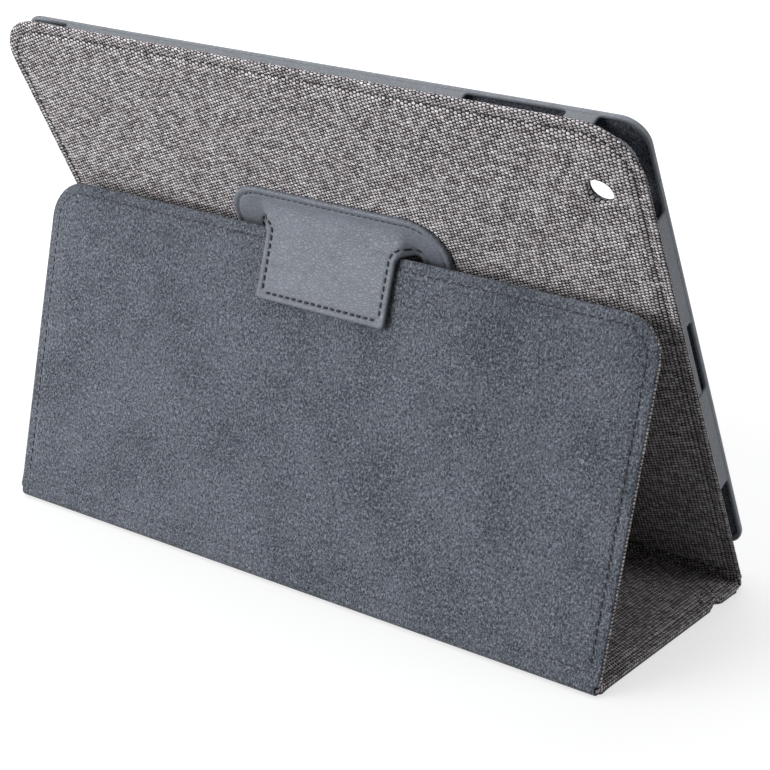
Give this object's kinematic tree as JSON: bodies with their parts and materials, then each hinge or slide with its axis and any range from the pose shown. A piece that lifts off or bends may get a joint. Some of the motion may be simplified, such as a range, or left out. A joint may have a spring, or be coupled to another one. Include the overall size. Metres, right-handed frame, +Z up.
{
  "type": "tablet folio case",
  "caption": "Folio stand case for a tablet: framed pocket on a woven back panel, with a hinged cover that folds into a tent and tucks its prop panel under a stitched leather tab.",
  "frame": {"origin": "on the ground, below the middle of the case's bounding box as it stands as a tent", "axes": "+X along the case's width, towards the side with the camera hole; +Y from the prop panel towards the screen side; +Z up"},
  "size_m": [0.25, 0.1058, 0.1791],
  "materials": {
    "tweed": "matte",
    "suede": "matte",
    "leather": "satin",
    "board": "matte",
    "thread": "matte"
  },
  "bodies": {
    "holder": {"back_board": "board", "back_tweed": "tweed", "back_lining": "suede", "back_thread": "thread", "rim_band": "leather", "wall_top": "leather", "wall_post": "leather", "wall_side_upper": "leather", "wall_side_lower": "leather", "wall_bottom": "leather", "side_slot_strip": "leather", "bezel_leather": "leather", "bezel_board": "board", "bezel_lining": "suede", "tab_base": "leather", "tab_base_thread": "thread"},
    "tongue": {"tab_tongue": "leather", "tongue_thread": "thread"},
    "spine": {"spine_rear_fold": "tweed", "spine_board": "board", "spine_tweed": "tweed", "spine_suede": "suede", "spine_thread": "thread", "spine_front_fold": "tweed"},
    "floor": {"floor_board": "board", "floor_tweed": "tweed", "floor_suede": "suede", "floor_thread": "thread", "crease_fold": "suede"},
    "prop": {"prop_board": "board", "prop_tweed": "tweed", "prop_suede": "suede", "prop_thread": "thread"}
  },
  "joints": [
    {"name": "spine_hinge", "type": "hinge", "parent": "holder", "child": "spine", "pos_m": [0, 0.04709, 0.0021], "axis": [1, 0, 0], "range_deg": [0, 209.3], "deforming": ["spine_rear_fold", "tab_tongue", "tongue_thread"]},
    {"name": "cover_hinge", "type": "hinge", "parent": "spine", "child": "floor", "pos_m": [0, 0.02829, 0.0006], "axis": [1, 0, 0], "range_deg": [0, 91.5], "deforming": ["spine_front_fold"]},
    {"name": "crease_hinge", "type": "hinge", "parent": "floor", "child": "prop", "pos_m": [0, -0.04846, 0.0026], "axis": [1, 0, 0], "range_deg": [0, 102.6], "deforming": ["crease_fold", "tab_tongue", "tongue_thread"]},
    {"name": "tongue_lift", "type": "hinge", "parent": "holder", "child": "tongue", "pos_m": [0, -0.02373, 0.12401], "axis": [-1, 0, 0], "range_deg": [0, 75]}
  ]
}
